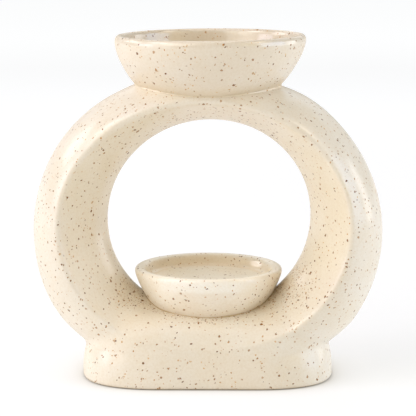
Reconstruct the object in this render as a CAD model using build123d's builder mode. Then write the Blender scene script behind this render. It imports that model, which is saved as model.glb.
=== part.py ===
from build123d import *
import os
from math import cos, hypot, radians, sin, sqrt

# Stoneware oil burner: an oval ring on an oval foot, an open bowl luted to the
# top of the ring and a tealight dish luted to the bottom of its hole.
# Millimetres. X runs along the ring's width, Y through its hole, Z up. The
# origin is the centre of the foot's footprint, on the surface it stands on.

os.makedirs("parts", exist_ok=True)

# ---------------------------------------------------------------- dimensions
wall = 5.0                      # cast wall of the ring and the foot
slip_film = 0.4                 # fired slip between two castings
slip_bead = 1.2                 # slip squeezed out along a seam
bead_low_z = 114.0              # the bowl's bead starts above this height

# Ring, outer skin: ovals on planes across Y
outer_half_width = 72.65        # at the middle plane
outer_half_height = 67.7
outer_centre_z = 59.8
closing_half_width = 53.0       # where the skin would close, just inside the crest
closing_half_height = 45.0
closing_centre_z = 65.1
ring_half_depth = 29.6          # at the crests
skin_half_depth = 30.9          # where the skin would close
crest_round = 1.4               # radius of the crest's edge

# Ring, hole: a waisted oval tunnel, narrowest at the middle plane
waist_half_width = 42.6
waist_half_height = 40.6
waist_centre_z = 65.45
waist_offset_x = 0.35
waist_tilt = 23.0               # the waist's long axis leans, degrees
mouth_half_width = 59.3         # at ring_half_depth
mouth_half_height = 51.1
mouth_centre_z = 65.1
waist_round = 0.55              # reach of the waist's round, of ring_half_depth

# Foot: a slot-shaped block whose top edge is rolled over
foot_length = 105.0
foot_depth = 66.6
foot_height = 28.2
foot_offset_y = -1.0            # the foot sits a little forward of the ring
foot_turn = 2.5                 # and is turned a little against it, degrees
foot_roll = 14.0                # radius of the rolled top edge
foot_edge = 1.25                # radius of the bottom edge
foot_draft = 1.25               # the sides lean in by this up to the roll
foot_rim_width = 7.5            # the unglazed rim that stands on the table
foot_recess = 1.2               # depth of the underside inside that rim
vent_diameter = 3.5             # kiln vent in the underside
vent_x = 24.0

# Bowl, turned about Z: (radius, z) up the outside and down the inside
bowl_centre_x = 0.7
bowl_base_radius = 12.0
bowl_base_z = 110.6
bowl_outside = [(19.2, 112.9), (24.6, 116.3), (28.6, 119.5), (31.3, 122.3), (33.5, 125.2),
                (35.4, 128.3), (37.1, 131.4), (38.4, 134.6), (39.15, 137.6)]
bowl_rim_radius = 39.3
bowl_rim_z = 141.3
bowl_rim_round = 1.6
bowl_inside = [(35.6, 136.2), (34.3, 132.8), (32.2, 129.4), (29.2, 126.0), (24.9, 122.6),
               (19.0, 119.2)]
bowl_floor_radius = 10.0
bowl_floor_z = 116.4

# Tealight dish, turned about Z: (radius, z) up the outside and down the inside
dish_centre_x = 0.3
dish_base_radius = 14.0
dish_base_z = 22.0
dish_outside = [(17.5, 23.2), (21.0, 25.9), (23.3, 28.6), (25.3, 31.2), (27.0, 33.9),
                (28.5, 36.8), (29.7, 39.6)]
dish_rim_radius = 30.65
dish_rim_z = 44.7
dish_rim_round = 2.3
dish_inside = [(25.0, 42.0), (24.0, 40.9)]
dish_floor_radius = 21.6
dish_floor_z = 40.2
dish_wall = 4.8
dish_vent = 3.0                 # through the ring's floor, under the dish


# ---------------------------------------------------------------- helpers
def across(x, y, z):
    """Plane across Y: local x is X and local y is Z."""
    return Plane(origin=(x, y, z), x_dir=(1, 0, 0), z_dir=(0, -1, 0))


def grown(points, distance):
    """Profile points moved sideways, off the solid, by a distance."""
    moved = []
    for i, (r, z) in enumerate(points):
        r0, z0 = points[max(i - 1, 0)]
        r1, z1 = points[min(i + 1, len(points) - 1)]
        length = hypot(r1 - r0, z1 - z0)
        moved.append((r + distance * (z1 - z0) / length, z - distance * (r1 - r0) / length))
    return moved


def turned_core(centre_x, base_radius, base_z, outside, rim_radius, top_z, grow):
    """Filled body of a bowl's or dish's outside, up to top_z, grown by a distance."""
    flank = grown([(base_radius, base_z)] + outside, grow)
    flank[0] = (base_radius, base_z - grow)
    with BuildPart() as core:
        with BuildSketch(across(centre_x, 0, 0)):
            with BuildLine():
                Line((0, base_z - grow), flank[0])
                Spline(*flank, tangents=[(1, 0), (0.25, 1)])
                Polyline(flank[-1], (rim_radius + grow, top_z), (0, top_z), (0, base_z - grow))
            make_face()
        revolve(axis=Axis((centre_x, 0, 0), (0, 0, 1)))
    return core.part


# ---------------------------------------------------------------- ring and foot
def flare(t):
    """0 at the waist, 1 at the mouth: round at first, then a straight cone."""
    return (sqrt(1 + (t / waist_round) ** 2) - 1) / (sqrt(1 + 1 / waist_round ** 2) - 1)


def ring_skin(inset):
    """Outside of the ring, closed at front and back, drawn in by inset."""
    closing_a = closing_half_width + 1.5 * min(inset, 0)
    closing_b = closing_half_height + 1.5 * min(inset, 0)
    with BuildPart() as skin:
        for angle in (-90, -78, -64, -48, -32, -16, 0, 16, 32, 48, 64, 78, 90):
            t, u = sin(radians(angle)), cos(radians(angle))
            a = closing_a + (outer_half_width - inset - closing_a) * u
            b = closing_b + (outer_half_height - inset - closing_b) * u
            z = closing_centre_z + (outer_centre_z - closing_centre_z) * u
            with BuildSketch(across(0, t * (skin_half_depth - inset), z)):
                Ellipse(a, b)
        loft()
    return skin.part


def hole_tool(inset):
    """The waisted tunnel, run out past the crests, opened up by inset."""
    with BuildPart() as tunnel:
        for k in range(-6, 7):
            t = k / 5
            f = flare(abs(t))
            a = waist_half_width + (mouth_half_width - waist_half_width) * f + inset * 1.12
            b = waist_half_height + (mouth_half_height - waist_half_height) * f + inset * 1.12
            g = 1 - min(f, 1)
            z = mouth_centre_z + (waist_centre_z - mouth_centre_z) * g
            with BuildSketch(across(waist_offset_x * g, t * ring_half_depth, z)):
                Ellipse(a, b, rotation=waist_tilt * g)
        loft()
    return tunnel.part


def foot_block(inset):
    """The foot, drawn in by inset; its hollow also stays clear of the recess."""
    base = inset + (foot_recess if inset > 0 else 0)
    half = foot_depth / 2 - inset
    straight = (foot_length - foot_depth) / 2
    top = foot_height - inset
    edge = max(foot_edge - inset * 0.2, 0.5)
    roll = foot_roll - max(inset, 0) * 1.6
    shape = []
    for angle in (0, 30, 60, 90):
        s = radians(angle)
        shape.append((base + edge * (1 - cos(s)), edge * (sin(s) - 1)))
    shape.append((base + 0.35 * (top - roll - base), -0.3 * foot_draft))
    for angle in (0, 20, 40, 60, 80):
        s = radians(angle)
        shape.append((top - roll * (1 - sin(s)), roll * (cos(s) - 1) - foot_draft))
    with BuildPart() as block:
        for z, grow in shape:
            with BuildSketch(Plane.XY.offset(z)):
                with Locations((0, foot_offset_y)):
                    SlotOverall(2 * (straight + half + grow), 2 * (half + grow), rotation=foot_turn)
        loft()
    return block.part


def body_blank(inset):
    """Ring and foot as one filled form, with every face drawn in by inset."""
    skin, tunnel, block = ring_skin(inset), hole_tool(inset), foot_block(inset)
    base = inset + (foot_recess if inset > 0 else 0)
    with BuildPart() as blank:
        add(skin)
        add(tunnel, mode=Mode.SUBTRACT)
        # inside the foot the ovals run on below the table: cut them off there
        split(bisect_by=Plane.XY.offset(base), keep=Keep.TOP)
        if inset == 0:
            crests = blank.edges().filter_by(lambda e: e.length > 300 and abs(e.center().Y) > 20)
            fillet(crests, crest_round)
        add(block)
    return blank.part


body = body_blank(0)
cavity = body_blank(wall)
body_for_film = body_blank(-slip_film)
skin_for_bead = ring_skin(-slip_bead)

bowl_args = (bowl_centre_x, bowl_base_radius, bowl_base_z, bowl_outside, bowl_rim_radius, bowl_rim_z + 4)
bowl_core = turned_core(*bowl_args, 0)
bowl_seat = turned_core(*bowl_args, slip_film)
bowl_bead = turned_core(*bowl_args, slip_bead)
bowl_wall_zone = turned_core(*bowl_args, slip_film + wall)

dish_args = (dish_centre_x, dish_base_radius, dish_base_z, dish_outside, dish_rim_radius, dish_rim_z + 4)
dish_core = turned_core(*dish_args, 0)
dish_bead = turned_core(*dish_args, slip_bead)

with BuildPart() as ring_body:
    add(body)
    # the hollow of the casting keeps one wall's thickness from the bowl's seat
    add(cavity - bowl_wall_zone, mode=Mode.SUBTRACT)
    add(bowl_seat, mode=Mode.SUBTRACT)
    # underside: a shallow recess inside the standing rim, and the kiln vent
    with BuildSketch(Plane.XY):
        with Locations((0, foot_offset_y)):
            SlotOverall(foot_length - 2 * foot_rim_width, foot_depth - 2 * foot_rim_width, rotation=foot_turn)
    extrude(amount=foot_recess, mode=Mode.SUBTRACT)
    with BuildSketch(Plane.XY):
        with Locations((vent_x, 0)):
            Circle(vent_diameter / 2)
    extrude(amount=wall + foot_recess + 2, mode=Mode.SUBTRACT)
    # air trapped under the dish escapes into the hollow of the ring
    with BuildSketch(Plane.XY.offset(foot_height - wall - 3)):
        with Locations((dish_centre_x, 0)):
            Circle(dish_vent / 2)
    extrude(amount=wall + 6, mode=Mode.SUBTRACT)
ring_body.part.label = "ring_body"


# ---------------------------------------------------------------- bowl
with BuildPart() as oil_bowl:
    with BuildSketch(across(bowl_centre_x, 0, 0)):
        with BuildLine():
            flank = [(bowl_base_radius, bowl_base_z)] + bowl_outside
            Line((0, bowl_base_z), flank[0])
            Spline(*flank, tangents=[(1, 0), (0.25, 1)])
            inner = bowl_inside + [(bowl_floor_radius, bowl_floor_z)]
            Spline(flank[-1], (bowl_rim_radius, bowl_rim_z - bowl_rim_round * 1.3),
                   (bowl_rim_radius - bowl_rim_round, bowl_rim_z),
                   (bowl_rim_radius - 2 * bowl_rim_round, bowl_rim_z - bowl_rim_round * 1.3), inner[0],
                   tangents=[(0.25, 1), (inner[1][0] - inner[0][0], inner[1][1] - inner[0][1])])
            Spline(*inner, tangents=[(inner[1][0] - inner[0][0], inner[1][1] - inner[0][1]), (-1, 0)])
            Polyline(inner[-1], (0, bowl_floor_z), (0, bowl_base_z))
        make_face()
    revolve(axis=Axis((bowl_centre_x, 0, 0), (0, 0, 1)))
oil_bowl.part.label = "oil_bowl"


# ---------------------------------------------------------------- tealight dish
# The underside is hollow and its edge is coped to the bottom of the ring's hole.
with BuildPart() as dish_hollow:
    with BuildSketch(across(dish_centre_x, 0, 0)):
        under = grown([(dish_base_radius, dish_base_z)] + dish_outside[:5], -dish_wall)
        roof = dish_floor_z - dish_wall
        with BuildLine():
            Polyline((0, dish_base_z - 5), (under[0][0], dish_base_z - 5), under[0])
            Spline(*under)
            Spline(under[-1], (under[-1][0] - 1.6, roof - 0.4), (under[-1][0] - 5, roof),
                   tangents=[(under[-1][0] - under[-2][0], under[-1][1] - under[-2][1]), (-1, 0)])
            Polyline((under[-1][0] - 5, roof), (0, roof), (0, dish_base_z - 5))
        make_face()
    revolve(axis=Axis((dish_centre_x, 0, 0), (0, 0, 1)))

with BuildPart() as tealight_dish:
    with BuildSketch(across(dish_centre_x, 0, 0)):
        with BuildLine():
            flank = [(dish_base_radius, dish_base_z)] + dish_outside
            Line((0, dish_base_z), flank[0])
            Spline(*flank, tangents=[(1, 0), (0.3, 1)])
            inner = dish_inside + [(dish_floor_radius, dish_floor_z)]
            Spline(flank[-1], (dish_rim_radius, dish_rim_z - dish_rim_round),
                   (dish_rim_radius - dish_rim_round, dish_rim_z),
                   (dish_rim_radius - 2 * dish_rim_round, dish_rim_z - dish_rim_round * 0.6), inner[0],
                   tangents=[(0.3, 1), (inner[1][0] - inner[0][0], inner[1][1] - inner[0][1])])
            Spline(*inner, tangents=[(inner[1][0] - inner[0][0], inner[1][1] - inner[0][1]), (-1, 0)])
            Polyline(inner[-1], (0, dish_floor_z), (0, dish_base_z))
        make_face()
    revolve(axis=Axis((dish_centre_x, 0, 0), (0, 0, 1)))
    add(dish_hollow.part, mode=Mode.SUBTRACT)
    add(body_for_film, mode=Mode.SUBTRACT)
tealight_dish.part.label = "tealight_dish"


# ---------------------------------------------------------------- slip joints
# Slip fills the film between two castings and stands out as a bead at the seam.
with BuildPart() as bowl_slip_joint:
    add(bowl_bead)
    # below the seam there is only the film
    split(bisect_by=Plane.XY.offset(bead_low_z), keep=Keep.TOP)
    add(bowl_seat)
    add(skin_for_bead, mode=Mode.INTERSECT)
    add(body - bowl_seat, mode=Mode.SUBTRACT)
    add(bowl_core, mode=Mode.SUBTRACT)
bowl_slip_joint.part.label = "bowl_slip_joint"

with BuildPart() as dish_slip_joint:
    add(body_for_film)
    add(dish_bead, mode=Mode.INTERSECT)
    add(dish_hollow.part, mode=Mode.SUBTRACT)
    add(body, mode=Mode.SUBTRACT)
dish_slip_joint.part.label = "dish_slip_joint"

export_step(ring_body.part, "parts/ring_body.step")
export_step(oil_bowl.part, "parts/oil_bowl.step")
export_step(tealight_dish.part, "parts/tealight_dish.step")
export_step(bowl_slip_joint.part, "parts/bowl_slip_joint.step")
export_step(dish_slip_joint.part, "parts/dish_slip_joint.step")
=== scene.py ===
import math

import bpy
import numpy as np
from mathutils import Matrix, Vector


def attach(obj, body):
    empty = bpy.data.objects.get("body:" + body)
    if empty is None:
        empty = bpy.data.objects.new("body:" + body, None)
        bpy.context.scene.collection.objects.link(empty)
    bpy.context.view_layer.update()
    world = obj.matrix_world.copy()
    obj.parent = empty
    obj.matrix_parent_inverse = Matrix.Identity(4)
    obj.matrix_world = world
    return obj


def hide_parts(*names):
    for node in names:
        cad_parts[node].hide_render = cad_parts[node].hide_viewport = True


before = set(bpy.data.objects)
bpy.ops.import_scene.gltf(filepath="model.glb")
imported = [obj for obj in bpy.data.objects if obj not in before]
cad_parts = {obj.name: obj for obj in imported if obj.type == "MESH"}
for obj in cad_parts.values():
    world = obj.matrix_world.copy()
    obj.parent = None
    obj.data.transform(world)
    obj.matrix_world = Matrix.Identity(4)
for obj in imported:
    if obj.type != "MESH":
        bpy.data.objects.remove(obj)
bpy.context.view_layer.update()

# Stoneware oil burner. All shapes below are worked out in millimetres, in the
# CAD frame, and scaled to metres when the meshes are made.

# ---------------------------------------------------------------- numbers (mm)
OUT = dict(a=72.5, b=67.65, z=59.8)            # outer oval at the middle plane
CLOSE = dict(a=53.0, b=45.0, z=65.1)           # where the skin would close, inside the crest
SKIN = 30.9                                    # and how far forward
DEPTH = 29.6
WAIST = dict(a=42.6, b=40.6, z=65.45, x=0.35, tilt=22.0)
MOUTH = dict(a=59.3, b=51.1, z=65.1)
ROUND = 0.55
FOOT = dict(a=52.0, b=33.3, end=35.8, n=2.64, y=-1.0, top=28.2, roll=15.0, edge=1.25, turn=2.55)


def smax(a, b, k):
    h = np.clip(0.5 + 0.5 * (a - b) / k, 0, 1)
    return b * (1 - h) + a * h + k * h * (1 - h)


def smin(a, b, k):
    return -smax(-a, -b, k)


def step(a, b, x):
    t = np.clip((x - a) / (b - a), 0, 1)
    return t * t * (3 - 2 * t)


def oval(x, z, a, b):
    q = np.hypot(x / a, z / b) + 1e-9
    g = np.hypot(x / a ** 2, z / b ** 2) / q
    return (q - 1) / np.maximum(g, 1e-6)


def flare(t):
    return (np.sqrt(1 + (t / ROUND) ** 2) - 1) / (np.sqrt(1 + 1 / ROUND ** 2) - 1)


def ring_outer(x, y, z):
    t = np.abs(y) / SKIN
    ang = np.arctan2(np.abs(x), z - OUT["z"])
    full = -0.75 * np.exp(-(ang / 0.50) ** 4) + 0.1 * np.exp(-((ang - 0.95) / 0.30) ** 2)
    # drawn in where it meets the foot's ends
    full = full - (1.5 + 0.5 * step(-20.0, 20.0, x)) * (1 - step(10.0, 25.0, z)) * step(30.0, 42.0, np.abs(x))
    # the right shoulder lies a little lower beside the bowl
    full = full - 0.85 * np.exp(-((ang - 0.36) / 0.22) ** 2) * step(-2.0, 8.0, x)
    full = full - 0.4 * np.exp(-((ang - 0.55) / 0.15) ** 2) * step(2.0, -8.0, x)
    # and its sides are a little out of true
    full = full + 0.35 * np.exp(-((ang - 1.05) / 0.28) ** 2) * (step(5.0, -15.0, x) - step(-5.0, 15.0, x))
    full = full + 0.5 * np.exp(-((ang - 1.93) / 0.20) ** 2) * step(5.0, -15.0, x)
    dc = oval(x, z - CLOSE["z"], CLOSE["a"], CLOSE["b"])
    do = oval(x, z - OUT["z"], OUT["a"], OUT["b"]) - full
    T = np.maximum(dc - do, 1.0)
    u = np.maximum(dc / T, 0)
    q = np.sqrt(u * u + t * t) + 1e-9
    g = np.sqrt((u / q / T) ** 2 + (t / q / SKIN) ** 2)
    return (q - 1) / np.maximum(g, 1e-4)


def ring_hole(x, y, z):
    """Positive in the hole."""
    t = np.minimum(np.abs(y) / DEPTH, 1.5)
    f = flare(t)
    g = 1 - np.minimum(f, 1)
    a = WAIST["a"] + (MOUTH["a"] - WAIST["a"]) * f
    b = WAIST["b"] + (MOUTH["b"] - WAIST["b"]) * f
    zc = MOUTH["z"] + (WAIST["z"] - MOUTH["z"]) * g
    w = np.radians(WAIST["tilt"]) * g
    X, Z = x - WAIST["x"] * g, z - zc
    c, s = np.cos(w), np.sin(w)
    d = oval(c * X + s * Z, -s * X + c * Z, a, b)
    slope = 1 / np.sqrt(1 + 0.25)                         # the flare leans, so the true distance is shorter
    return -d * slope


def slab(X, Y, lean):
    """Plan of the foot: straight front and back, full round ends."""
    a, b, e, n = FOOT["a"] - lean, FOOT["b"] - lean, FOOT["end"], FOOT["n"]
    ux, uy = np.maximum(np.abs(X) - (a - e), 0) / e, np.abs(Y) / b
    q = (ux ** n + uy ** n) ** (1 / n) + 1e-9
    g = np.sqrt(((ux / q) ** (n - 1) / e) ** 2 + ((uy / q) ** (n - 1) / b) ** 2)
    return (q - 1) / np.maximum(g, 1e-4)


def foot(x, y, z):
    c, s = np.cos(np.radians(FOOT["turn"])), np.sin(np.radians(FOOT["turn"]))
    X, Y = c * x + s * (y - FOOT["y"]), -s * x + c * (y - FOOT["y"])
    lean = 1.25 * np.clip((z - 4.1) / 8.4, 0, 1.2) ** 2
    d = slab(X, Y, lean)
    r = FOOT["roll"]
    qx, qz = d + r, z - (FOOT["top"] - r)
    top = np.hypot(np.maximum(qx, 0), np.maximum(qz, 0)) + np.minimum(np.maximum(qx, qz), 0) - r
    r = FOOT["edge"]
    qx, qz = d + r, r - z
    low = np.hypot(np.maximum(qx, 0), np.maximum(qz, 0)) + np.minimum(np.maximum(qx, qz), 0) - r
    return np.maximum(top, low)


def under(x, y, z):
    """Positive in the recess and the vent of the underside."""
    c, s = np.cos(np.radians(FOOT["turn"])), np.sin(np.radians(FOOT["turn"]))
    X, Y = c * x + s * (y - FOOT["y"]), -s * x + c * (y - FOOT["y"])
    d = np.hypot(np.maximum(np.abs(X) - 19.2, 0), Y) - 25.8
    recess = smax(d, z - 1.2, 0.8)
    vent = smax(np.hypot(x - 24.0, y) - 1.75, z - 9.0, 0.6)
    return -smin(recess, vent, 0.8)


def ring_and_foot(x, y, z):
    """Ring and foot run together, negative inside."""
    ring = smax(ring_outer(x, y, z), ring_hole(x, y, z), 1.2 + 1.5 * step(75.0, 112.0, z))
    base = foot(x, y, z)
    ends = step(27.0, 43.0, np.abs(x))
    k = 7.0 * (1 - ends) + (1.3 + 1.0 * step(20.0, -20.0, x)) * ends
    F = smin(ring, base, k)
    F = F + 0.10 * np.sin(x / 7.1 + 1.3) * np.sin(y / 8.3 + 0.4) * np.sin(z / 7.7 + 2.1)
    return F


def body(x, y, z):
    """The same, cut flat below, recessed and vented underneath, and open under the bowl."""
    F = smax(ring_and_foot(x, y, z), -z, 0.6)
    F = smax(F, under(x, y, z), 0.4)
    return smax(F, -bowl_core(x, y, z, -1.8), 1.2)


# ---------------------------------------------------------------- bowl and dish, turned about Z
BOWL_OUT = [(0, 110.6), (12.0, 110.6), (19.2, 112.9), (24.6, 116.3), (28.6, 119.5), (31.3, 122.3), (33.5, 125.2),
            (35.4, 128.3), (37.1, 131.4), (38.4, 134.6), (39.1, 137.4)]
BOWL_RIM = [(39.25, 139.0), (38.75, 140.5), (37.65, 141.2), (36.55, 140.4), (36.05, 138.8)]
BOWL_IN = [(35.55, 136.2), (34.3, 132.8), (32.2, 129.4), (29.2, 126.0), (24.9, 122.6), (19.0, 119.2), (10.0, 116.7),
           (0, 116.4)]
DISH_OUT = [(0, 23.0), (14.0, 23.0), (17.5, 23.8), (21.0, 25.9), (23.3, 28.6), (25.3, 31.2), (27.0, 33.9),
            (28.5, 36.8), (29.7, 39.6)]
DISH_RIM = [(30.4, 41.5), (30.7, 43.0), (30.4, 44.0), (29.6, 44.55), (28.3, 44.65), (26.9, 44.15), (25.8, 43.05)]
DISH_IN = [(25.0, 41.7), (23.9, 40.7), (21.6, 40.25), (14.0, 40.2), (0, 40.2)]


def curve(points, spacing):
    """Smooth curve through points, sampled evenly."""
    P = np.array(points, float)
    E = np.concatenate([[2 * P[0] - P[1]], P, [2 * P[-1] - P[-2]]])
    out = []
    for i in range(len(P) - 1):
        p0, p1, p2, p3 = E[i:i + 4]
        t0 = 0.0
        t1 = t0 + max(np.linalg.norm(p1 - p0), 1e-6) ** 0.5
        t2 = t1 + max(np.linalg.norm(p2 - p1), 1e-6) ** 0.5
        t3 = t2 + max(np.linalg.norm(p3 - p2), 1e-6) ** 0.5
        t = np.linspace(t1, t2, 40, endpoint=False)[:, None]
        a1 = (t1 - t) / (t1 - t0) * p0 + (t - t0) / (t1 - t0) * p1
        a2 = (t2 - t) / (t2 - t1) * p1 + (t - t1) / (t2 - t1) * p2
        a3 = (t3 - t) / (t3 - t2) * p2 + (t - t2) / (t3 - t2) * p3
        b1 = (t2 - t) / (t2 - t0) * a1 + (t - t0) / (t2 - t0) * a2
        b2 = (t3 - t) / (t3 - t1) * a2 + (t - t1) / (t3 - t1) * a3
        out.append((t2 - t) / (t2 - t1) * b1 + (t - t1) / (t2 - t1) * b2)
    C = np.concatenate(out + [P[-1:]])
    s = np.concatenate([[0], np.cumsum(np.linalg.norm(np.diff(C, axis=0), axis=1))])
    n = max(int(round(s[-1] / spacing)), 4)
    u = np.linspace(0, s[-1], n + 1)
    return np.stack([np.interp(u, s, C[:, 0]), np.interp(u, s, C[:, 1])], -1)


BOWL_CURVE = curve(BOWL_OUT[1:] + BOWL_RIM + BOWL_IN[:-1], 0.8)
DISH_CURVE = curve(DISH_OUT[1:] + DISH_RIM + DISH_IN[:-1], 0.7)


def bowl_x(z):
    """The bowl leans a little."""
    return 0.25 + (z - 121.0) * 0.045


def bowl_set(P):
    """The bowl stands a third of a degree out of level, right side up."""
    P = P.copy()
    P[:, 2] += 0.0056 * (P[:, 0] - 0.7) * step(112.0, 132.0, P[:, 2])
    return P


def dish_x(z):
    return 0.28 + 0 * z


def out_radius(curve_, z):
    """Outside radius of a turned piece at height z, up to its rim."""
    top = np.argmax(curve_[:, 0])
    return np.interp(z, curve_[:top + 1, 1], curve_[:top + 1, 0])


def bowl_core(x, y, z, grow=0.0):
    """Signed distance to the filled bowl, roughly."""
    r = np.hypot(x - bowl_x(z), y)
    d = (r - out_radius(BOWL_CURVE, z) - grow * 1.3) * 0.78
    return np.maximum(d, 110.6 - z - grow)


def turned(curve_, centre_x, n):
    """Closed mesh of quads round a profile whose ends are near the axis, with a flat cap at each."""
    a = np.linspace(0, 2 * np.pi, n, endpoint=False)
    r, z = curve_[:, 0], curve_[:, 1]
    P = np.stack([centre_x(z)[:, None] + r[:, None] * np.cos(a), r[:, None] * np.sin(a),
                  np.repeat(z[:, None], n, 1)], -1)
    m = len(r)
    rings = P.reshape(-1, 3)
    i = np.arange(m - 1)[:, None] * n
    j = np.arange(n)[None]
    k = (np.arange(n)[None] + 1) % n
    Q = np.stack([i + j, i + k, i + n + k, i + n + j], -1).reshape(-1, 4)
    caps = []
    V = [rings]
    base = len(rings)
    for end, rows in ((0, 1), (1, -1)):
        edge = np.arange(n) + (0 if end == 0 else (m - 1) * n)
        zc = curve_[0 if end == 0 else -1, 1]
        r0 = curve_[0 if end == 0 else -1, 0]
        count = max(int(r0 / 2.0), 1)
        prev = edge
        for s in range(1, count):
            rr = r0 * (1 - s / count)
            V.append(np.stack([centre_x(zc) + rr * np.cos(a), rr * np.sin(a), np.full(n, zc)], -1))
            cur = base + np.arange(n)
            base += n
            q = np.stack([prev, np.roll(prev, -1), np.roll(cur, -1), cur], -1)
            caps.append(q[:, ::-1] if end == 0 else q)
            prev = cur
        V.append(np.array([[centre_x(zc), 0, zc]]))
        t = np.stack([prev, np.roll(prev, -1), np.full(n, base)], -1)
        base += 1
        caps.append(np.concatenate([t[:, ::-1] if end == 0 else t, np.full((n, 1), -1)], 1))
    return np.concatenate(V), np.concatenate([Q] + caps)


# ---------------------------------------------------------------- mesher
def surface_nets(F, xs, ys, zs):
    X, Y, Z = np.meshgrid(xs, ys, zs, indexing="ij")
    V = F(X, Y, Z)
    S = V < 0
    nx, ny, nz = V.shape
    acc = np.zeros((nx - 1, ny - 1, nz - 1, 3))
    cnt = np.zeros((nx - 1, ny - 1, nz - 1))
    grid = np.stack([X, Y, Z], -1)
    for ax in range(3):
        lo = [slice(None)] * 3
        hi = [slice(None)] * 3
        lo[ax], hi[ax] = slice(0, -1), slice(1, None)
        a, b = V[tuple(lo)], V[tuple(hi)]
        cross = (a < 0) != (b < 0)
        t = np.where(cross, a / np.where(cross, a - b, 1), 0)
        P = grid[tuple(lo)] + t[..., None] * (grid[tuple(hi)] - grid[tuple(lo)])
        P = P * cross[..., None]
        o = [i for i in range(3) if i != ax]
        for d0 in (0, 1):
            for d1 in (0, 1):
                sl = [slice(None)] * 3
                sl[o[0]] = slice(d0, d0 + V.shape[o[0]] - 1)
                sl[o[1]] = slice(d1, d1 + V.shape[o[1]] - 1)
                acc += P[tuple(sl)]
                cnt += cross[tuple(sl)]
    on = cnt > 0
    index = np.full(cnt.shape, -1)
    index[on] = np.arange(on.sum())
    verts = acc[on] / cnt[on][:, None]
    quads = []
    for ax in range(3):
        lo = [slice(None)] * 3
        hi = [slice(None)] * 3
        lo[ax], hi[ax] = slice(0, -1), slice(1, None)
        a, b = S[tuple(lo)], S[tuple(hi)]
        o = [i for i in range(3) if i != ax]
        inner = [slice(None)] * 3
        inner[o[0]] = slice(1, V.shape[o[0]] - 1)
        inner[o[1]] = slice(1, V.shape[o[1]] - 1)
        A, B = a[tuple(inner)], b[tuple(inner)]
        where = np.argwhere(A != B)
        flip = A[tuple(where.T)]
        where[:, o[0]] += 1
        where[:, o[1]] += 1

        def cell(d0, d1):
            w = where.copy()
            w[:, o[0]] -= d0
            w[:, o[1]] -= d1
            return index[tuple(w.T)]

        q = np.stack([cell(0, 0), cell(1, 0), cell(1, 1), cell(0, 1)], -1)
        if ax == 1:
            flip = ~flip
        q[~flip] = q[~flip][:, ::-1]
        quads.append(q)
    return verts, np.concatenate(quads)


def gradient(F, P, e=0.02):
    x, y, z = P.T
    return np.stack([F(x + e, y, z) - F(x - e, y, z), F(x, y + e, z) - F(x, y - e, z),
                     F(x, y, z + e) - F(x, y, z - e)], -1) / (2 * e)


def settle(F, P, Q, rounds=5, smooth=3, limit=0.5):
    """Evens the mesh out and puts every vertex on the surface."""
    a = np.concatenate([Q[:, [0, 1]], Q[:, [1, 2]], Q[:, [2, 3]], Q[:, [3, 0]]])
    a = np.concatenate([a, a[:, ::-1]])
    n = np.bincount(a[:, 0], minlength=len(P))
    for k in range(rounds):
        if k < smooth:
            M = np.stack([np.bincount(a[:, 0], weights=P[a[:, 1], i], minlength=len(P)) for i in range(3)], -1)
            P = P + 0.6 * (M / n[:, None] - P)
        G = gradient(F, P)
        d = -F(*P.T)[:, None] * G / np.maximum((G * G).sum(-1), 0.05)[:, None]
        L = np.linalg.norm(d, axis=1)[:, None]
        P = P + d * np.minimum(1, limit / np.maximum(L, 1e-9))
    G = gradient(F, P)
    return P, G / np.linalg.norm(G, axis=1)[:, None]


def unpinch(P, Q):
    """Gives each sheet its own vertices along edges that four faces share."""
    e = np.concatenate([Q[:, [0, 1]], Q[:, [1, 2]], Q[:, [2, 3]], Q[:, [3, 0]]])
    key = np.sort(e, 1)
    u, c = np.unique(key, axis=0, return_counts=True)
    bad = set(map(tuple, u[c > 2].tolist()))
    P, Q = P.copy(), Q.copy()
    extra = []
    for v in sorted({v for b in bad for v in b}):
        faces = np.argwhere((Q == v).any(1))[:, 0].tolist()
        fans = []
        while faces:
            fan = [faces.pop(0)]
            grown_ = True
            while grown_:
                grown_ = False
                for f in list(faces):
                    for g in fan:
                        shared = set(Q[f].tolist()) & set(Q[g].tolist()) - {v}
                        if any(tuple(sorted((v, w))) not in bad for w in shared):
                            fan.append(f)
                            faces.remove(f)
                            grown_ = True
                            break
            fans.append(fan)
        for fan in fans[1:]:
            new = len(P) + len(extra)
            extra.append(P[v])
            for f in fan:
                Q[f][Q[f] == v] = new
    return (np.concatenate([P, np.array(extra)]) if extra else P), Q


def body_mesh(h=1.1):
    xs = np.arange(-75, 75 + h, h)
    ys = np.arange(-36, 36 + h, h)
    zs = np.concatenate([np.arange(-1.1, 3.0, 0.45), np.arange(3.2, 131, h)])
    P, Q = unpinch(*surface_nets(body, xs, ys, zs))
    return settle(body, P, Q) + (Q,)


# ---------------------------------------------------------------- seams
def seam(curve_, centre_x, low, high, n):
    """Where a turned piece meets the ring: points, and the outward normals of both surfaces."""
    a = np.linspace(0, 2 * np.pi, n, endpoint=False)
    z0, z1 = np.full(n, low), np.full(n, high)

    def at(z):
        r = out_radius(curve_, z)
        return np.stack([centre_x(z) + r * np.cos(a), r * np.sin(a), z], -1)

    for _ in range(40):
        z = (z0 + z1) / 2
        inside = ring_and_foot(*at(z).T) < 0
        z0, z1 = np.where(inside, z, z0), np.where(inside, z1, z)
    P = at((z0 + z1) / 2)
    n1 = gradient(ring_and_foot, P)
    slope = (out_radius(curve_, P[:, 2] + 0.2) - out_radius(curve_, P[:, 2] - 0.2)) / 0.4
    n2 = np.stack([np.cos(a), np.sin(a), -slope], -1)
    n1 /= np.linalg.norm(n1, axis=1)[:, None]
    n2 /= np.linalg.norm(n2, axis=1)[:, None]
    return P, n1, n2, a


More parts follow.
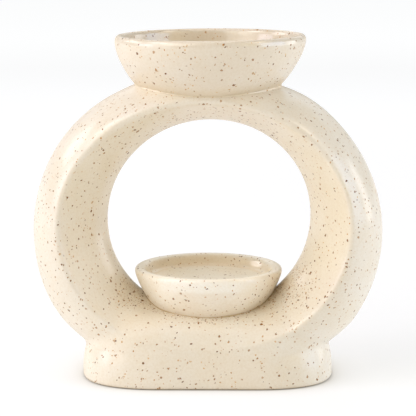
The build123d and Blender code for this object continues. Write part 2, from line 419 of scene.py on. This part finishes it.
def bead(curve_, centre_x, low, high, n, radius, out, wobble, slim, m=14):
    """A roll of slip along a seam, closed, lying in the crease."""
    P, n1, n2, a = seam(curve_, centre_x, low, high, n)
    away = n1 + n2
    away /= np.linalg.norm(away, axis=1)[:, None]
    along = np.roll(P, -1, 0) - np.roll(P, 1, 0)
    along /= np.linalg.norm(along, axis=1)[:, None]
    side = np.cross(along, away)
    side /= np.linalg.norm(side, axis=1)[:, None]
    away = np.cross(side, along)
    front = np.exp(-((a - 1.5 * np.pi) / 0.65) ** 2)
    r = radius * (1 - slim * front) * (1 + wobble * (0.5 * np.sin(5 * a + 0.7) + 0.35 * np.sin(11 * a + 2.1) + 0.3 * np.sin(23 * a + 4.0)))
    C = P + away * (out * r)[:, None]
    w = np.linspace(0, 2 * np.pi, m, endpoint=False)
    V = C[:, None] + r[:, None, None] * (np.cos(w)[None, :, None] * away[:, None] + 1.15 * np.sin(w)[None, :, None] * side[:, None])
    i = np.arange(n)[:, None]
    j = np.arange(m)[None]
    k = (i + 1) % n
    l = (j + 1) % m
    Q = np.stack([i * m + j, k * m + j, k * m + l, i * m + l], -1).reshape(-1, 4)
    return V.reshape(-1, 3), Q


# ---------------------------------------------------------------- pieces
def piece(name, P, Q, nodes, normals=None):
    faces = [tuple(int(v) for v in q if v >= 0) for q in Q]
    mesh = bpy.data.meshes.new(name)
    mesh.from_pydata((P / 1000).tolist(), [], faces)
    mesh.validate()
    mesh.shade_smooth()
    if normals is not None:
        mesh.normals_split_custom_set_from_vertices(normals.tolist())
    mesh.update()
    o = bpy.data.objects.new(name, mesh)
    bpy.context.scene.collection.objects.link(o)
    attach(o, "root")
    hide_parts(*nodes)
    return o


P, N, Q = body_mesh()
ring_o = piece("ring_and_foot_glazed", P, Q, ["ring_body"])
P, Q = turned(BOWL_CURVE, bowl_x, 256)
P = bowl_set(P)
bowl_o = piece("oil_bowl_glazed", P, Q, ["oil_bowl"])
P, Q = turned(DISH_CURVE, dish_x, 224)
dish_o = piece("tealight_dish_glazed", P, Q, ["tealight_dish"])
P, Q = bead(BOWL_CURVE, bowl_x, 112.0, 130.0, 420, 0.60, 0.15, 0.35, 0.45)
bowl_bead_o = piece("bowl_slip_bead", bowl_set(P), Q, ["bowl_slip_joint"])
P, Q = bead(DISH_CURVE, dish_x, 23.5, 41.0, 360, 0.42, 0.05, 0.4, 0.1)
dish_bead_o = piece("dish_slip_bead", P, Q, ["dish_slip_joint"])


# ---------------------------------------------------------------- materials
def linear(r, g, b):
    c = np.array([r, g, b], float) / 255
    return tuple(np.where(c <= 0.04045, c / 12.92, ((c + 0.055) / 1.055) ** 2.4)) + (1.0,)


class Nodes:
    """Short names for making shader nodes."""

    def __init__(self, name):
        self.mat = bpy.data.materials.new(name)
        self.mat.use_nodes = True
        self.tree = self.mat.node_tree
        self.tree.nodes.clear()

    def new(self, kind, **settings):
        n = self.tree.nodes.new(kind)
        for k, v in settings.items():
            setattr(n, k, v)
        return n

    def put(self, socket, value):
        if isinstance(value, bpy.types.NodeSocket):
            self.tree.links.new(value, socket)
        else:
            socket.default_value = value

    def math(self, op, a, b=0.0, c=0.0, clamp=False):
        n = self.new("ShaderNodeMath", operation=op, use_clamp=clamp)
        for s, v in zip(n.inputs, (a, b, c)):
            self.put(s, v)
        return n.outputs[0]

    def vec(self, op, a, b=(0, 0, 0), scale=1.0):
        n = self.new("ShaderNodeVectorMath", operation=op)
        self.put(n.inputs[0], a)
        self.put(n.inputs[1], b)
        if op == "SCALE":
            self.put(n.inputs[3], scale)
        return n.outputs["Value"] if op in ("LENGTH", "DISTANCE", "DOT_PRODUCT") else n.outputs[0]

    def mix(self, f, a, b, mode="MIX"):
        n = self.new("ShaderNodeMix", data_type="RGBA", blend_type=mode)
        self.put(n.inputs[0], f)
        self.put(n.inputs[6], a)
        self.put(n.inputs[7], b)
        return n.outputs[2]

    def remap(self, v, a, b, c=0.0, d=1.0, smooth=True):
        n = self.new("ShaderNodeMapRange", interpolation_type="SMOOTHSTEP" if smooth else "LINEAR", clamp=True)
        for s, x in zip(n.inputs, (v, a, b, c, d)):
            self.put(s, x)
        return n.outputs[0]

    def noise(self, vector, scale, detail=2.0, rough=0.5, color=False):
        n = self.new("ShaderNodeTexNoise", noise_dimensions="3D")
        self.put(n.inputs["Vector"], vector)
        self.put(n.inputs["Scale"], scale)
        self.put(n.inputs["Detail"], detail)
        self.put(n.inputs["Roughness"], rough)
        return n.outputs["Color"] if color else n.outputs["Fac"]

    def cells(self, vector, scale):
        n = self.new("ShaderNodeTexVoronoi", voronoi_dimensions="3D", feature="F1")
        self.put(n.inputs["Vector"], vector)
        self.put(n.inputs["Scale"], scale)
        self.put(n.inputs["Randomness"], 1.0)
        return n.outputs["Distance"], n.outputs["Color"], n.outputs["Position"]

    def split(self, c):
        n = self.new("ShaderNodeSeparateColor")
        self.put(n.inputs[0], c)
        return n.outputs[0], n.outputs[1], n.outputs[2]

    def xyz(self, v):
        n = self.new("ShaderNodeSeparateXYZ")
        self.put(n.inputs[0], v)
        return n.outputs[0], n.outputs[1], n.outputs[2]


# Iron specks, one row a size: cell (mm), smallest and largest radius (mm), share of cells, softness, shift
SPECKS = {
    "dust": (0.95, 0.15, 0.28, 0.05, 0.50, (3.1, 8.2, 1.7)),
    "fine": (1.35, 0.22, 0.40, 0.28, 0.30, (11.4, 2.9, 7.3)),
    "spot": (1.75, 0.30, 0.50, 0.44, 0.25, (5.7, 19.1, 13.9)),
    "blot": (3.9, 0.42, 0.70, 0.95, 0.25, (23.3, 1.1, 31.7)),
    "pool": (0.80, 0.17, 0.29, 0.20, 0.30, (41.9, 6.6, 9.1)),
}
TAN = linear(212, 158, 66)
BROWN = linear(176, 118, 22)
DARK = linear(112, 64, 8)


def shade(base, r, g, b):
    return (base[0] * r, base[1] * g, base[2] * b, 1.0)


def glaze(name, shift, base, lighting_paint=None, crowd=None, bare=False, gloss=(0.8, 0.09)):
    """Satin cream glaze over speckled stoneware."""
    t = Nodes(name)
    where = t.new("ShaderNodeTexCoord").outputs["Object"]
    own = t.vec("SCALE", where, scale=1000.0)
    p = t.vec("ADD", own, shift)
    wob = t.vec("SCALE", t.vec("SUBTRACT", t.noise(p, 0.9, 2.0, color=True), (0.5, 0.5, 0.5)), scale=1.3)
    q = t.vec("ADD", p, wob)
    # specks gather in drifts, the smallest only where the glaze has pooled
    drift = t.remap(t.noise(p, 0.09, 2.0), 0.30, 0.70, 0.65, 1.4, smooth=False)
    gather = 0.0 if crowd is None else crowd(t, own)
    drift = t.math("ADD", drift, gather)
    masks = {}
    for kind, (cell, r0, r1, share, soft, move) in SPECKS.items():
        d, c, _ = t.cells(t.vec("ADD", q, move), 1.0 / cell)
        u, v, w = t.split(c)
        r = t.math("MULTIPLY_ADD", t.math("POWER", u, 2.0), (r1 - r0) / cell, r0 / cell)
        edge = t.remap(d, t.math("MULTIPLY", r, 1 - soft), t.math("MULTIPLY", r, 1 + soft * 0.5), 1.0, 0.0)
        on = t.math("LESS_THAN", v, t.math("MULTIPLY", gather if kind == "pool" else drift, share))
        depth = t.math("MULTIPLY_ADD", w, 0.35, 0.65)
        masks[kind] = (t.math("MULTIPLY", t.math("MULTIPLY", edge, on), depth), w)
    # painted light and shade by zone first, then the glaze itself: cloudy, and a little warmer here and there
    colour = base if lighting_paint is None else lighting_paint(t, own, base)
    cloud = t.noise(p, 0.07, 3.0, 0.55)
    grain = t.noise(p, 1.1, 3.0, 0.6)
    tint = t.mix(t.remap(cloud, 0.32, 0.68), (1.0, 1.0, 1.0, 1.0), (0.985, 0.965, 0.93, 1.0))
    colour = t.mix(1.0, colour, tint, "MULTIPLY")
    tint = t.mix(t.remap(grain, 0.35, 0.75), (1.0, 1.0, 1.0, 1.0), (0.955, 0.93, 0.885, 1.0))
    colour = t.mix(1.0, colour, tint, "MULTIPLY")
    colour = t.mix(t.math("MULTIPLY", masks["dust"][0], 0.75), colour, TAN)
    colour = t.mix(t.math("MULTIPLY", masks["fine"][0], 0.95), colour, t.mix(masks["fine"][1], TAN, BROWN))
    colour = t.mix(t.math("MULTIPLY", masks["pool"][0], 0.9), colour, t.mix(masks["pool"][1], BROWN, DARK))
    colour = t.mix(masks["spot"][0], colour, t.mix(masks["spot"][1], BROWN, DARK))
    colour = t.mix(masks["blot"][0], colour, t.mix(masks["blot"][1], BROWN, DARK))
    rough = t.math("MULTIPLY_ADD", t.noise(p, 0.35, 3.0), 0.10, 0.17)
    if bare:
        # the rim that stands on the table is wiped clean of glaze
        low = t.remap(t.xyz(own)[2], 0.15, 0.75, 1.0, 0.0)
        clay = t.mix(t.noise(p, 2.4, 3.0), linear(222, 200, 165), linear(198, 172, 134))
        colour = t.mix(low, colour, clay)
        rough = t.math("MAXIMUM", rough, t.math("MULTIPLY", low, 0.85))
    s = t.new("ShaderNodeBsdfPrincipled")
    t.put(s.inputs["Base Color"], colour)
    t.put(s.inputs["Roughness"], rough)
    s.inputs["IOR"].default_value = 1.5
    # the satin skin mirrors less at a glancing angle than clear glaze would
    lean = t.new("ShaderNodeLayerWeight")
    lean.inputs["Blend"].default_value = 0.5
    t.put(s.inputs["Specular IOR Level"], t.remap(lean.outputs["Facing"], 0.45, 0.90, 0.5, 0.03))
    t.put(s.inputs["Coat Weight"], t.remap(lean.outputs["Facing"], 0.40, 0.85, gloss[0], 0.0))
    s.inputs["Coat Roughness"].default_value = gloss[1]
    # orange peel of the glaze, and specks that stand a little proud
    height = t.math("ADD", t.math("MULTIPLY", t.noise(p, 0.9, 3.0, 0.5), 0.030),
                    t.math("MULTIPLY", t.math("ADD", masks["spot"][0], masks["blot"][0]), 0.012))
    b = t.new("ShaderNodeBump")
    b.inputs["Strength"].default_value = 0.35
    b.inputs["Distance"].default_value = 0.001
    t.put(b.inputs["Height"], height)
    t.tree.links.new(b.outputs[0], s.inputs["Normal"])
    t.tree.links.new(s.outputs[0], t.new("ShaderNodeOutputMaterial").inputs["Surface"])
    return t.mat


def ring_crowd(t, own):
    """More specks in the pockets beside the dish and along its seam, fewer on the foot."""
    x, y, z = t.xyz(own)
    right = t.remap(t.vec("DISTANCE", own, (35.0, -12.0, 37.0)), 5.0, 17.0, 3.0, 0.0)
    left = t.remap(t.vec("DISTANCE", own, (-31.0, -11.0, 34.0)), 3.0, 12.0, 2.4, 0.0)
    r = t.vec("LENGTH", t.vec("MULTIPLY", own, (1.0, 1.0, 0.0)))
    off = t.math("SUBTRACT", r, t.math("MULTIPLY_ADD", t.math("SUBTRACT", z, 25.9), 0.75, 21.0))
    near = t.math("MULTIPLY", t.remap(off, 2.0, 6.5, 3.0, 0.0), t.remap(z, 22.0, 24.0))
    near = t.math("MULTIPLY", near, t.remap(z, 34.0, 40.0, 1.0, 0.0))
    more = t.math("ADD", t.math("ADD", right, left), near)
    return t.math("SUBTRACT", more, t.remap(z, 20.0, 27.0, 0.28, 0.0))


def ring_painted_light_and_shade(t, own, base):
    """Painted light and shade on the ring: whiter on the outside as painted sheen, warmer in the hole and by the dish,
    and patches of the hole, the foot's end and the left pocket painted lighter or darker.
    """
    x, y, z = t.xyz(own)
    u = t.math("DIVIDE", x, 57.6)
    v = t.math("DIVIDE", t.math("SUBTRACT", z, 65.1), 49.4)
    q = t.math("SQRT", t.math("ADD", t.math("MULTIPLY", u, u), t.math("MULTIPLY", v, v)))
    skin = t.math("MULTIPLY", t.remap(q, 0.98, 1.06), t.remap(z, 22.0, 34.0))
    # painted sheen: the outside of the ring painted whiter and bluer
    colour = t.mix(skin, base, shade(base, 0.995, 1.01, 1.04))
    end = t.math("MULTIPLY", t.remap(x, 34.0, 46.0), t.remap(z, 22.0, 30.0, 1.0, 0.0))
    # painted light: the right end of the foot painted lighter and bluer
    colour = t.mix(end, colour, shade(base, 1.04, 1.07, 1.12))
    low = t.math("MULTIPLY", t.remap(z, 24.0, 44.0, 1.0, 0.0), t.remap(z, 10.0, 20.0, 0.25, 1.0))
    low = t.math("MULTIPLY", low, t.math("SUBTRACT", 1.0, end))
    # painted light: the lower ring painted lighter and bluer
    colour = t.mix(low, colour, shade(base, 1.01, 1.03, 1.055))
    inner = t.math("SUBTRACT", 1.0, skin)
    left_ = t.math("MULTIPLY", t.remap(x, -2.0, -26.0), t.remap(z, 48.0, 84.0))
    # painted shade: the upper left of the hole painted darker and warmer
    colour = t.mix(t.math("MULTIPLY", left_, inner), colour, shade(base, 0.955, 0.955, 0.925))
    left_ = t.math("MULTIPLY", t.remap(x, -8.0, -28.0), t.remap(z, 46.0, 60.0, 1.0, 0.0))
    # painted light: the lower left of the hole painted lighter
    colour = t.mix(t.math("MULTIPLY", left_, inner), colour, shade(base, 1.04, 1.05, 1.065))
    right_ = t.math("MULTIPLY", t.remap(x, 18.0, 38.0), t.remap(z, 40.0, 56.0))
    # painted light: the right side of the hole painted lighter
    colour = t.mix(t.math("MULTIPLY", right_, inner), colour, shade(base, 1.035, 1.04, 1.02))
    # painted shade in the pocket right of the dish, darker and warmer; painted light in the pocket left of it
    pocket = t.remap(t.vec("DISTANCE", t.vec("MULTIPLY", own, (1.0, 0.7, 1.0)), (28.5, 0.0, 34.5)), 3.0, 12.0, 1.0, 0.0)
    colour = t.mix(t.math("MULTIPLY", pocket, 0.50), colour, shade(base, 0.82, 0.77, 0.68))
    pocket = t.remap(t.vec("DISTANCE", t.vec("MULTIPLY", own, (1.0, 0.7, 1.0)), (-27.5, 0.0, 34.0)), 3.0, 11.0, 1.0, 0.0)
    return t.mix(t.math("MULTIPLY", pocket, 0.5), colour, shade(base, 1.04, 1.05, 1.06))


def bowl_painted_shade(t, own, base):
    """Painted shade: darker and warmer inside, and in the crease over the ring."""
    x, y, z = t.xyz(own)
    r = t.vec("LENGTH", t.vec("MULTIPLY", own, (1.0, 1.0, 0.0)))
    middle = t.math("MULTIPLY_ADD", t.math("SUBTRACT", z, 138.0), 0.476, 37.3)
    inside = t.remap(t.math("SUBTRACT", r, middle), -1.2, 0.6, 1.0, 0.0)
    # painted shade: the inside of the bowl painted darker
    colour = t.mix(inside, base, shade(base, 0.98, 0.98, 0.975))
    seam_z = t.math("MULTIPLY_ADD", t.math("MULTIPLY", x, x), 0.0036, 118.0)
    low = t.remap(t.math("SUBTRACT", z, seam_z), 0.2, 4.5, 1.0, 0.0)
    # painted shade: the crease just above the seam painted darker and warmer
    return t.mix(low, colour, shade(base, 0.95, 0.915, 0.85))


def dish_painted_shade(t, own, base):
    """Painted shade: the wall of the well painted darker and warmer, and the lower outer wall under it too."""
    x, y, z = t.xyz(own)
    r = t.vec("LENGTH", t.vec("MULTIPLY", own, (1.0, 1.0, 0.0)))
    wall_ = t.math("MULTIPLY", t.remap(r, 21.0, 23.0), t.remap(r, 25.2, 27.2, 1.0, 0.0))
    wall_ = t.math("MULTIPLY", wall_, t.remap(z, 39.0, 40.0))
    # painted shade: the wall of the well painted darker and warmer
    colour = t.mix(t.math("MULTIPLY", wall_, 0.8), base, shade(base, 0.95, 0.88, 0.77))
    front = t.math("MULTIPLY", t.remap(z, 38.0, 40.1, 1.0, 0.0), t.remap(t.math("ABSOLUTE", x), 7.0, 21.0, 1.0, 0.0))
    # painted shade: the lower outer wall painted darker and warmer
    return t.mix(front, colour, shade(base, 0.925, 0.885, 0.83))


GLAZE = (0.835, 0.748, 0.612, 1.0)
ring_o.data.materials.append(glaze("glaze_ring", (0, 0, 0), GLAZE, lighting_paint=ring_painted_light_and_shade, crowd=ring_crowd, bare=True, gloss=(0.12, 0.24)))
bowl_o.data.materials.append(glaze("glaze_bowl", (171.0, 37.0, 59.0), shade(GLAZE, 0.92, 0.91, 0.90), lighting_paint=bowl_painted_shade, crowd=lambda t, own: -0.22))
# painted light: the dish's glaze is painted lighter than the ring's, where the ring and bowl shade it
dish_o.data.materials.append(glaze("glaze_dish", (-93.0, 211.0, 17.0), shade(GLAZE, 1.155, 1.205, 1.285), lighting_paint=dish_painted_shade, crowd=lambda t, own: -0.35))
bowl_bead_o.data.materials.append(glaze("glaze_bowl_slip", (55.0, -77.0, 140.0), shade(GLAZE, 0.95, 0.92, 0.85)))
# painted shade: the dish's slip bead is painted dark brown for the crease under the dish
dish_bead_o.data.materials.append(glaze("glaze_dish_slip_painted_shade", (12.0, 64.0, -30.0), shade(GLAZE, 0.74, 0.64, 0.49), crowd=lambda t, own: 2.6))

# ---------------------------------------------------------------- stage
def paper(name):
    """White studio floor that glows evenly, with a painted shadow round the foot."""
    t = Nodes(name)
    where = t.new("ShaderNodeTexCoord").outputs["Object"]
    far = t.remap(t.vec("LENGTH", where), 0.0, 2.1)
    turned_ = t.new("ShaderNodeVectorRotate", rotation_type="Z_AXIS")
    t.put(turned_.inputs["Vector"], t.vec("SCALE", where, scale=1000.0))
    turned_.inputs["Angle"].default_value = math.radians(-FOOT["turn"])
    x, y, z = t.xyz(turned_.outputs[0])
    ux = t.math("DIVIDE", t.math("MAXIMUM", t.math("SUBTRACT", t.math("ABSOLUTE", x), 16.2), 0.0), 35.8)
    uy = t.math("DIVIDE", t.math("ABSOLUTE", t.math("ADD", y, 1.0)), 33.3)
    q = t.math("POWER", t.math("ADD", t.math("POWER", ux, 2.64), t.math("POWER", uy, 2.64)), 1 / 2.64)
    gap = t.math("MULTIPLY", t.math("SUBTRACT", q, 1.0), 34.0)          # mm from the foot's outline
    # painted shadow: the floor's glow is dimmed and its colour warmed near the foot, dimmed most at and under the
    # foot's edge
    close = t.math("EXPONENT", t.math("MULTIPLY", t.math("MAXIMUM", gap, 0.0), -0.27))
    painted_contact_shadow = t.remap(gap, -1.5, 1.2, 0.15, 1.0)
    glow = t.math("SUBTRACT", t.remap(far, 0.0, 1.0, 0.553, 0.868, smooth=False), t.math("MULTIPLY", close, 0.17))
    s = t.new("ShaderNodeBsdfPrincipled")
    t.put(s.inputs["Base Color"], t.mix(close, (0.45, 0.45, 0.45, 1.0), (0.45, 0.44, 0.42, 1.0)))
    s.inputs["Roughness"].default_value = 0.95
    s.inputs["Specular IOR Level"].default_value = 0.0
    t.put(s.inputs["Emission Color"], t.mix(close, (1.0, 1.0, 1.0, 1.0), (1.0, 0.97, 0.92, 1.0)))
    t.put(s.inputs["Emission Strength"], t.math("MULTIPLY", glow, painted_contact_shadow))
    t.tree.links.new(s.outputs[0], t.new("ShaderNodeOutputMaterial").inputs["Surface"])
    return t.mat


mesh = bpy.data.meshes.new("floor")
half = 12.0
mesh.from_pydata([(-half, -half, 0), (half, -half, 0), (half, half, 0), (-half, half, 0)], [], [(0, 1, 2, 3)])
floor = bpy.data.objects.new("floor", mesh)
bpy.context.scene.collection.objects.link(floor)
floor.data.materials.append(paper("paper"))


def softbox(name, place, target, size, energy, colour=(1, 1, 1)):
    data = bpy.data.lights.new(name, "AREA")
    data.shape = "RECTANGLE"
    data.size, data.size_y = size
    data.energy = energy
    data.color = colour
    o = bpy.data.objects.new(name, data)
    o.location = place
    aim = Vector(target) - Vector(place)
    o.rotation_euler = aim.to_track_quat("-Z", "Y").to_euler()
    bpy.context.scene.collection.objects.link(o)
    return o


# name, bearing (0 in front, 90 to the right) and height angle in degrees, size, watts of red, green and blue
SOFTBOXES = (
    ("key_left", 250, 28, (0.6, 0.4), (2.1, 2.0, 2.05)),
    ("strip_right", 115, 6, (0.4, 0.65), (2.1, 2.1, 2.15)),
    ("overhead", 0, 80, (0.7, 0.7), (1.6, 1.55, 1.6)),
    ("overhead_back", 180, 65, (0.6, 0.5), (1.2, 1.0, 0.8)),
    ("wide_left", 300, 18, (0.9, 0.9), (3.0, 2.85, 2.9)),
    ("wide_left_high", 320, 38, (0.8, 0.8), (4.35, 4.25, 3.8)),
    ("gleam_left", 285, 45, (0.4, 0.28), (2.0, 1.95, 1.9)),
    ("gleam_right", 75, 48, (0.35, 0.25), (1.3, 1.15, 1.0)),
    ("low_left", 280, 13, (0.5, 0.4), (1.6, 1.6, 2.0)),
    ("wide_right", 60, 25, (0.9, 0.9), (2.23, 1.64, 0.65)),
    ("low_right", 82, 14, (0.8, 0.8), (3.3, 4.35, 6.05)),
    ("back", 180, 32, (0.9, 0.7), (1.4, 1.5, 1.6)),
    ("high_left", 285, 60, (0.7, 0.7), (0.93, 0.82, 1.24)),
)
for name, bearing, height, size, rgb in SOFTBOXES:
    e, a = math.radians(height), math.radians(bearing)
    place = (1.2 * math.cos(e) * math.sin(a), -1.2 * math.cos(e) * math.cos(a), 0.07 + 1.2 * math.sin(e))
    softbox(name, place, (0, 0, 0.07), size, max(rgb), tuple(c / max(rgb) for c in rgb))

world = bpy.data.worlds.new("studio")
bpy.context.scene.world = world
world.use_nodes = True
# dim all round, with a white wall behind
w = world.node_tree
back = w.nodes["Background"]
back.inputs["Color"].default_value = (0.90, 0.97, 1.0, 1)
sky = w.nodes.new("ShaderNodeTexCoord")
axes = w.nodes.new("ShaderNodeSeparateXYZ")
w.links.new(sky.outputs["Generated"], axes.inputs[0])
wall = w.nodes.new("ShaderNodeMapRange")
wall.interpolation_type = "SMOOTHSTEP"
for k, v in ((1, 0.25), (2, 0.85), (3, 0.17), (4, 0.55)):
    wall.inputs[k].default_value = v
w.links.new(axes.outputs[1], wall.inputs[0])
w.links.new(wall.outputs[0], back.inputs["Strength"])

camera = bpy.data.cameras.new("camera")
camera.sensor_width = 36.0
camera.lens = 36.0 * 1840.6 / 416
camera.clip_end = 60
camera_o = bpy.data.objects.new("camera", camera)
camera_o.location = (0.04018, -0.75435, 0.19389)
camera_o.rotation_euler = (math.radians(90 - 9.383), 0, math.radians(3.042))
bpy.context.scene.collection.objects.link(camera_o)
bpy.context.scene.camera = camera_o
bpy.context.scene.view_settings.view_transform = "Standard"
bpy.context.scene.view_settings.look = "None"
